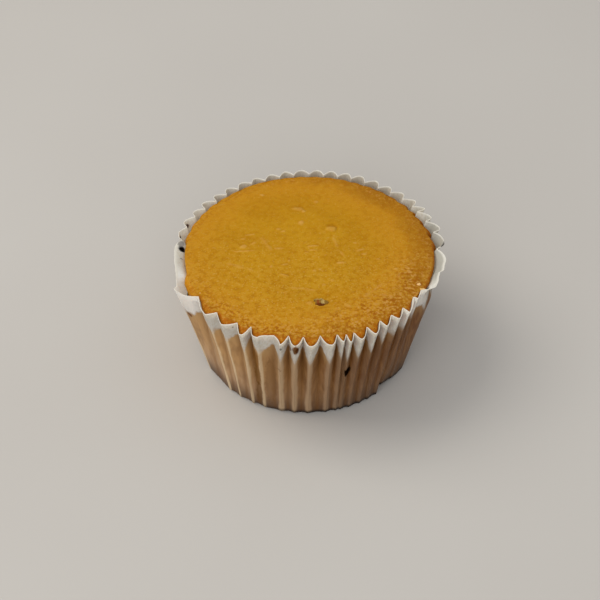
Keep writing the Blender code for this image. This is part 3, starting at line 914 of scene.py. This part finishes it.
def top_relief(x, y):
    """(height to add, paleness, shade, sandiness) at a point of the top."""
    add = TOP_UNEVENNESS * noise.noise(Vector((x, y, 0.0)) / LUMP_SIZE)
    sandy = sandy_share(x, y)
    fine = noise.noise(Vector((x, y, 0.0)) / GRAIN_SIZE)
    coarse = noise.noise(Vector((x, y, 9.0 * MM)) / BUMP_SIZE)
    add += (GRAIN_HEIGHT[0] + GRAIN_HEIGHT[1] * sandy) * MM * fine
    add += (BUMP_HEIGHT[0] + BUMP_HEIGHT[1] * sandy) * MM * coarse
    pale = 0.0
    shade = 0.0
    for right_of, behind, length, width, turn, height, paleness, dark in BLISTERS:
        gap_x = x / MM - right_of
        gap_y = y / MM - behind
        if max(abs(gap_x), abs(gap_y)) > BLISTER_REACH:
            continue
        slant = math.radians(turn)
        along = (gap_x * math.cos(slant) + gap_y * math.sin(slant)) * 2.0 / length
        across = (gap_y * math.cos(slant) - gap_x * math.sin(slant)) * 2.0 / width
        ragged = RAGGED_SHARE * noise.noise(Vector((x, y, 2.0 * MM)) / (0.8 * MM))
        out = math.hypot(along, across) + ragged
        swell = smooth_step((BLISTER_EDGE[0] - out) / BLISTER_EDGE[1])
        out_behind = math.hypot(along * 0.9, across - 1.1) + ragged
        hollow = dark * smooth_step((HOLLOW_EDGE[0] - out_behind) / HOLLOW_EDGE[1]) * (1.0 - swell)
        add += height * MM * (swell - HOLLOW_DEPTH * hollow)
        pale = max(pale, paleness * swell)
        shade = max(shade, hollow)
    for (x0, y0), (x1, y1), width, height in WRINKLES:
        dx, dy = x1 - x0, y1 - y0
        along = ((x / MM - x0) * dx + (y / MM - y0) * dy) / (dx * dx + dy * dy)
        held = min(max(along, 0.0), 1.0)
        stray = 0.5 * noise.noise(Vector((x, y, 7.0 * MM)) / (1.6 * MM))
        out = math.hypot(x / MM - x0 - held * dx, y / MM - y0 - held * dy) + stray
        swell = smooth_step(1.0 - out / width)
        add += height * MM * swell
        pale = max(pale, WRINKLE_PALENESS * swell)
    return add, pale, shade, sandy


# %% Round the grid and turn its edge over into the folds
def round_ring(x, y):
    """(share of the edge's radius, angle from the front) of a point of the square grid."""
    reach = max(abs(x), abs(y))
    if reach < 1e-9:
        return 0.0, 0.0
    if abs(x) >= abs(y):
        direction = math.pi / 4.0 * y / abs(x)
        direction = direction if x > 0.0 else math.pi - direction
    else:
        direction = math.pi / 4.0 * x / abs(y)
        direction = math.pi / 2.0 - direction if y > 0.0 else direction - math.pi / 2.0
    share = reach / EDGE_RADIUS
    even = columns[0] + direction % math.tau
    return share, even + (column_angle(direction / math.tau) - even) * share ** 4


def on_ring(radius, angle, height, middle=(0.0, 0.0)):
    """A point at an angle from the front, on a ring round a middle."""
    across, along = radius * math.sin(angle), -radius * math.cos(angle)
    return Vector((across + middle[0], along + middle[1], height))


def edge_point(angle, share):
    """A point of the turned-over edge, from the top (share 0) to the paper (share 1)."""
    height = cake_top(angle)
    wall = place_on_case(angle, wall_radius(height), height, CLEARANCE)[0]
    turn = share * math.pi / 2.0
    point = on_ring(EDGE_RADIUS, angle, EDGE_HEIGHT, EDGE_MIDDLE).lerp(wall, math.sin(turn))
    point.z = wall.z + (EDGE_HEIGHT - wall.z) * math.cos(turn)
    return point


known = {
    "edge": [],                  # 0 in the middle, 1 where the edge turns, 2 at the paper
    "pale": [],                  # 1 on a blister or a wrinkle
    "shade": [],                 # 1 behind a blister
    "sandy": [],                 # 1 in the rough stretch
}
for vert in cake.data.vertices:
    x, y, z = vert.co
    row = round((CROWN_HEIGHT - z) / ROW_STEP)
    share, angle = round_ring(x, y)
    pale, shade, sandy = 0.0, 0.0, 0.0
    edge = 2.0
    if row == 0:
        point = on_ring(share * EDGE_RADIUS, angle, dome_height(share), EDGE_MIDDLE)
        add, pale, shade, sandy = top_relief(point.x, point.y)
        point.z += add
        edge = share
    elif row <= TURN_ROWS:
        point = edge_point(angle, row / TURN_ROWS)
        add, pale, shade, sandy = top_relief(point.x, point.y)
        point.z += add * (1.0 - row / TURN_ROWS)
        sandy = max(sandy, LEAST_SAND)
        edge = 1.0 + row / TURN_ROWS
    elif row < TURN_ROWS + SIDE_ROWS or max(abs(x), abs(y)) > half:
        top = cake_top(angle)
        height = top + (CORNER + FLOOR_GAP - top) * (row - TURN_ROWS) / SIDE_ROWS
        point = place_on_case(angle, wall_radius(height), height, CLEARANCE)[0]
    else:
        point = on_ring(share * (BASE_RADIUS - CLEARANCE), angle, FLOOR_GAP)
    vert.co = point
    for name, value in zip(known, (edge, pale, shade, sandy)):
        known[name].append(value)
store(cake, known)
cake.data.update()
bpy.ops.object.shade_smooth()
report(cake)

# %% [markdown]
# ## Baked sponge crust
#
# The skin of a sponge is thin and matt to slightly greasy. It is golden yellow in the
# middle, turns orange-brown towards the edge and is darkest where it rolls over into the
# folds. Seen close up it is a mottle of yellow and tan with small pale specks and tiny
# dark pores. Yellow crumb lets some light in, which softens its small shadows.

# %% The cake's material: its patterns
PATCH = 9.0 * MM                 # broad patches, baked more or less
MOTTLE = 1.3 * MM
GRAIN = 0.45 * MM                # pores and specks of the skin
SAND = 0.8 * MM                  # lumps of the sandy stretch

cake_skin, tree, shader, place = new_skin("baked sponge crust")
x, y = [node(tree, "SeparateXYZ", {0: place}, axis) for axis in "XY"]
edge, pale, shade, sandy = [
    node(tree, "Attribute", output="Fac", attribute_name=name) for name in known]
broad, mottle, grain, sand = [
    node(tree, "TexNoise", {"Vector": place, "Scale": 1.0 / size, "Detail": detail})
    for size, detail in ((PATCH, 2.0), (MOTTLE, 4.0), (GRAIN, 3.0), (SAND, 2.0))]

# %% Golden in the middle and more baked towards the edge, with painted shade on the right
patches = node(tree, "MapRange", {0: broad, 1: 0.35, 2: 0.65}, **soft)
colour = node(tree, "Mix", {0: patches, 6: "#AD7808", 7: "#B5820F"}, **mixed)
# Painted shade: turned, taken from x, darkens the crust towards the right, away from the light, on
# top of the real browning at the edge
turned = node(tree, "Math", {0: x, 1: 4.5, 2: -0.15}, operation="MULTIPLY_ADD")
baked_and_shaded = node(tree, "Math", {0: broad, 1: 0.30, 2: turned}, operation="MULTIPLY_ADD")
baked_and_shaded = node(tree, "Math", {0: baked_and_shaded, 1: edge}, operation="ADD")
# Painted light on the left: the rolled edge browns less there and the pulled corner is paler, as if
# lit through the paper
rolled_browning_less_where_lit = node(tree, "MapRange", {0: x, 1: -30.0 * MM, 2: -20.0 * MM, 3: 0.35}, **soft)
painted_corner_light = node(tree, "MapRange", {0: x, 1: -26.0 * MM, 2: -30.0 * MM, 4: 0.4}, **soft)
colour = layered(tree, colour, [
    (baked_and_shaded, 0.45, 0.92, 1.0, "#B77D14"),           # a warmer ring round the middle
    (baked_and_shaded, 0.86, 1.05, 1.0, "#9F670C"),           # browner at the edge
    # painted shade, darkest at the right edge
    (baked_and_shaded, 1.05, 1.15, 0.7, "#8E580A"),
    (edge, 0.99, 1.35, rolled_browning_less_where_lit, "#A55A09"),     # orange-brown where it rolls over, less on the left as painted light
    (edge, 1.0, 1.3, painted_corner_light, "#D6961C"),        # painted light: paler in the pulled corner of the paper
])

# %% Mottle, pores and the sandy stretch
much = node(tree, "MapRange", {0: y, 1: 18.0 * MM, 2: -14.0 * MM, 3: 0.20, 4: 0.45}, **soft)
open_share = node(tree, "MapRange", {0: edge, 1: 1.25, 2: 1.0, 4: 0.75}, **soft)
how_light = node(tree, "Math", {0: sandy, 1: open_share}, operation="MULTIPLY")
how_dark = node(tree, "Math", {0: sandy, 1: 0.95}, operation="MULTIPLY")
colour = layered(tree, colour, [
    (mottle, 0.40, 0.66, much, "#BE8E2C"),         # yellow and tan mottle
    (mottle, 0.50, 0.32, much, "#9C660C"),
    (grain, 0.58, 0.68, much, "#C89E54"),          # pale specks
    (grain, 0.40, 0.30, much, "#945A04"),          # dark pores
    (sand, 0.54, 0.64, how_light, "#BF8B48"),      # lumps of the sandy stretch
    (sand, 0.48, 0.38, how_dark, "#96560C"),       # and the dips between them
])
for cause, tone in ((shade, "#A06806"), (pale, "#CC9A50")):
    share = node(tree, "Math", {0: cause, 1: 0.60}, operation="MULTIPLY")
    colour = node(tree, "Mix", {0: share, 6: colour, 7: tone}, **mixed)

# %% How the crust takes the light
dull = node(tree, "MapRange", {0: mottle, 1: 0.3, 2: 0.7, 3: 0.52, 4: 0.68})
fine = node(tree, "Bump", {"Height": grain, "Strength": 0.6, "Distance": 0.06 * MM})
pores = node(tree, "Bump", {
    "Height": mottle, "Strength": 0.5, "Distance": 0.10 * MM, "Normal": fine})
fill(tree, shader, {
    "Base Color": colour, "Roughness": dull, "IOR": 1.42, "Specular IOR Level": 0.06,
    "Subsurface Weight": 0.12, "Subsurface Radius": (1.2 * MM, 0.6 * MM, 0.2 * MM),
    "Subsurface Scale": 1.0, "Normal": pores,
})
cake.data.materials.append(cake_skin)

# %% [markdown]
# ## The toasted flake
#
# A scrap of toasted shell, under 4 mm long, stuck in the crust. It is a small thing that shows, so
# it is its own piece: a ball pressed flat, with a ragged outline, olive brown with a reddish stripe
# and a pale one, and a dark front that is partly its darker underside and partly painted shade.

# %% Press a ball into a flake
FLAKE_X = 3.2 * MM
FLAKE_Y = -18.9 * MM
FLAKE_LENGTH = 3.4 * MM
FLAKE_WIDTH = 2.5 * MM
FLAKE_THICKNESS = 0.8 * MM
FLAKE_TURN = math.radians(-12.0)
FLAKE_TILT = math.radians(9.0)
FLAKE_SINK = 0.40 * MM
FLAKE_WAVES = [(3, 0.13, 0.6), (5, 0.08, 0.0)]  # its outline: waves, share of its size, phase
FLAKE_CURL = 0.35                # how far its ends curl up, as a share of its thickness
FLAKE_CRUMPLE = 0.22             # and how uneven it is
FLAKE_RIDGE = (0.25, 0.05, 0.10)  # a ridge across it: height, place and width, as shares

deselect()
bpy.ops.mesh.primitive_uv_sphere_add(segments=64, ring_count=32, radius=0.5)
flake = bpy.context.object
flake.name = "toasted_flake"
radius = math.hypot(FLAKE_X, FLAKE_Y)
flake_base = dome_height(radius / EDGE_RADIUS)
flake_base += top_relief(FLAKE_X, FLAKE_Y)[0] + FLAKE_THICKNESS / 2.0 - FLAKE_SINK
turn = Euler((FLAKE_TILT, 0.0, 0.0)).to_matrix()
turn = Euler((0.0, 0.0, FLAKE_TURN)).to_matrix() @ turn
for vert in flake.data.vertices:
    around = math.atan2(vert.co.y, vert.co.x)
    ragged = 1.0
    for waves, depth, phase in FLAKE_WAVES:
        ragged += depth * math.sin(waves * around + phase)
    crumple = noise.noise(vert.co * 5.0)
    x = vert.co.x * FLAKE_LENGTH * ragged
    y = vert.co.y * FLAKE_WIDTH * ragged
    curl = FLAKE_CURL * (x / FLAKE_LENGTH) ** 2 + FLAKE_CRUMPLE * crumple
    ridge_height, ridge_place, ridge_width = FLAKE_RIDGE
    ridge = ridge_height * math.exp(-((x / FLAKE_LENGTH - ridge_place) / ridge_width) ** 2)
    z = (vert.co.z + curl + ridge) * FLAKE_THICKNESS
    vert.co = turn @ Vector((x, y, z)) + Vector((FLAKE_X, FLAKE_Y, flake_base))
flake.data.update()
bpy.ops.object.shade_smooth()
report(flake)

# %% Two-toned toasted shell
flake_skin, tree, shader, place = new_skin("toasted seed shell")
x, y = [node(tree, "SeparateXYZ", {0: place}, axis) for axis in "XY"]
spots = node(tree, "TexNoise", {"Vector": place, "Scale": 1.0 / (0.7 * MM), "Detail": 3.0})
wavy = node(tree, "Math", {0: spots, 1: 0.9 * MM, 2: -0.45 * MM}, operation="MULTIPLY_ADD")
right_of = node(tree, "Math", {0: x, 1: wavy}, operation="ADD")
behind = node(tree, "Math", {0: y, 1: wavy}, operation="ADD")
colour = node(tree, "Mix", {0: spots, 6: "#6E4C14", 7: "#94702E"}, **mixed)

# Stripes across the shell: (left and right edge from its middle, colour), in mm
STRIPES = [((-0.9, -0.3), "#803E14"), ((0.2, 1.0), "#B89C5C"), ((-1.9, -1.4), "#5E420E")]
STRIPE_BLUR = 0.15 * MM
for (left, right), tone in STRIPES:
    centre = FLAKE_X + 0.5 * (left + right) * MM
    from_centre = node(tree, "Math", {0: right_of, 1: centre}, operation="SUBTRACT")
    from_centre = node(tree, "Math", {0: from_centre}, operation="ABSOLUTE")
    wide = 0.5 * (right - left) * MM
    begin, full = wide + STRIPE_BLUR, wide - STRIPE_BLUR
    colour = layered(tree, colour, [(from_centre, begin, full, 0.9, tone)])
colour = layered(tree, colour, [
    (behind, FLAKE_Y + 0.4 * MM, FLAKE_Y + 0.9 * MM, 0.8, "#AC9250"),      # pale back edge
    (behind, FLAKE_Y - 0.45 * MM, FLAKE_Y - 0.85 * MM, 0.95, "#5C2A02"),   # dark front: partly its darker underside, partly painted shade
])
relief = node(tree, "Bump", {"Height": spots, "Strength": 0.5, "Distance": 0.1 * MM})
fill(tree, shader, {"Base Color": colour, "Roughness": 0.75, "Specular IOR Level": 0.08,
                    "Normal": relief})
flake.data.materials.append(flake_skin)

# %% [markdown]
# ## Loose crumbs
#
# A few crumbs of the crust have fallen against the rim. Each is a small rough lump, made from a ball
# of its own and squashed, and all are joined into one piece, because they never move apart.

# %% Crumbs along the rim
# (right of the middle, behind the middle, height, size), in mm
CRUMBS = [
    (28.1, -11.7, 30.6, 1.0), (28.9, -13.6, 30.5, 1.2), (26.2, -16.6, 30.2, 0.5),
    (-26.9, -14.8, 30.2, 0.9), (-27.6, -13.9, 30.2, 0.6), (-24.5, -17.9, 30.1, 0.5),
    (12.0, 27.8, 30.3, 0.6), (-18.5, 24.4, 30.3, 0.5), (29.9, 4.2, 30.3, 0.5),
]
CRUMB_LUMP = 0.35                # size of a crumb's lumps, as a share of the crumb
CRUMB_ROUGHNESS = 0.55           # and their height

draw = random.Random(SEED)
crumbs = []
for number, (right_of, behind, height, size) in enumerate(CRUMBS):
    deselect()
    bpy.ops.mesh.primitive_ico_sphere_add(subdivisions=3, radius=0.5 * size * MM)
    crumb = bpy.context.object
    shift = Vector((draw.uniform(-9.0, 9.0), draw.uniform(-9.0, 9.0), number))
    squash = Vector((draw.uniform(0.75, 1.1), draw.uniform(0.75, 1.1), draw.uniform(0.6, 0.8)))
    here = Vector((right_of, behind, height)) * MM
    for vert in crumb.data.vertices:
        rough = 1.0 + CRUMB_ROUGHNESS * noise.noise(vert.co / (CRUMB_LUMP * size * MM) + shift)
        vert.co = vert.co * rough * squash + here
    crumbs.append(crumb)
deselect()
for crumb in crumbs:
    crumb.select_set(True)
bpy.context.view_layer.objects.active = crumbs[0]
bpy.ops.object.join()
crumb_piece = bpy.context.object
crumb_piece.name = "loose_crumbs"
bpy.ops.object.shade_smooth()
report(crumb_piece)

crumb_skin, tree, shader, place = new_skin("dry sponge crumb")
spots = node(tree, "TexNoise", {"Vector": place, "Scale": 1.0 / (0.4 * MM), "Detail": 3.0})
which = node(tree, "TexNoise", {"Vector": place, "Scale": 1.0 / (3.0 * MM), "Detail": 0.0})
which = node(tree, "MapRange", {0: which, 1: 0.40, 2: 0.60}, **soft)
colour = node(tree, "Mix", {0: which, 6: "#E0B060", 7: "#D9A078"}, **mixed)
colour = layered(tree, colour, [(spots, 0.45, 0.65, 0.6, "#E6CFA0")])
relief = node(tree, "Bump", {"Height": spots, "Strength": 0.6, "Distance": 0.08 * MM})
fill(tree, shader, {"Base Color": colour, "Roughness": 0.8, "Normal": relief})
crumb_piece.data.materials.append(crumb_skin)

# %% [markdown]
# ## Hand the pieces over
#
# Nothing on a muffin moves by itself, so every piece rides on the one body of the model.
# The case and the cake stand for their solids, and the flake is part of the cake's solid.

# %% Bodies, and the solids hidden
for piece in (paper, cake, flake, crumb_piece):
    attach(piece, "root")
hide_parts("paper_case")
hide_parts("cake")
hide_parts("cake")
